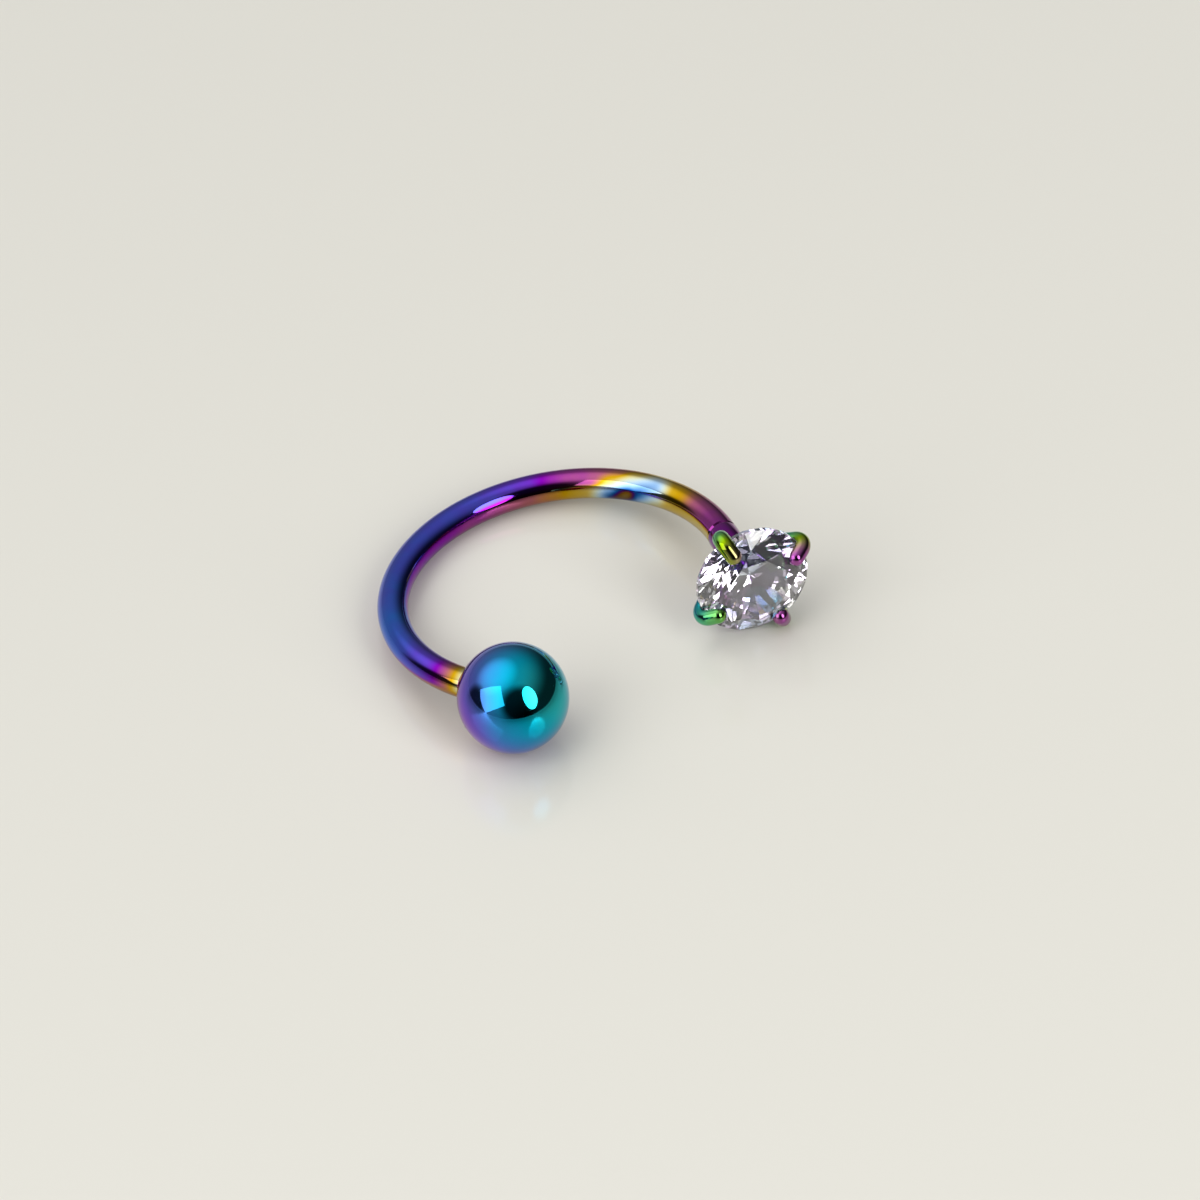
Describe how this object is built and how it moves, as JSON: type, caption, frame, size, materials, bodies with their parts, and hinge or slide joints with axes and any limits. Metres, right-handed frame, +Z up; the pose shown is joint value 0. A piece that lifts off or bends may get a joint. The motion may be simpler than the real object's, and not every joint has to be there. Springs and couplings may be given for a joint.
{
  "type": "horseshoe ring",
  "caption": "Open ring of round wire for a piercing, with a screw-on ball on one end and a screw-on claw-set round stone on the other, lying on its side.",
  "frame": {"origin": "middle of the box's base: on the surface the ring lies on, under the middle of its outline", "axes": "+Z up from the surface, +X along the longer side of the outline towards the stone, -Y towards the ring's open side"},
  "size_m": [0.0156, 0.0148, 0.0045],
  "materials": {
    "wire_metal": "polished steel with a rainbow titanium coating that runs from gold through magenta and violet to blue and back",
    "ball_metal": "polished steel with a teal to blue titanium coating",
    "setting_metal": "polished steel with a green, gold and magenta titanium coating",
    "clear_stone": "colourless faceted cubic zirconia, polished"
  },
  "bodies": {
    "wire": {"shaft": "wire_metal"},
    "ball_end": {"ball": "ball_metal"},
    "stone_end": {"setting": "setting_metal", "stone": "clear_stone"}
  },
  "joints": [
    {"name": "ball_unscrew", "type": "slide", "parent": "wire", "child": "ball_end", "axis": [0.8095, -0.5689, 0.1455], "range_m": [0, 0.002]},
    {"name": "setting_unscrew", "type": "slide", "parent": "wire", "child": "stone_end", "axis": [0.3063, -0.9418, 0.1383], "range_m": [0, 0.0012]}
  ]
}
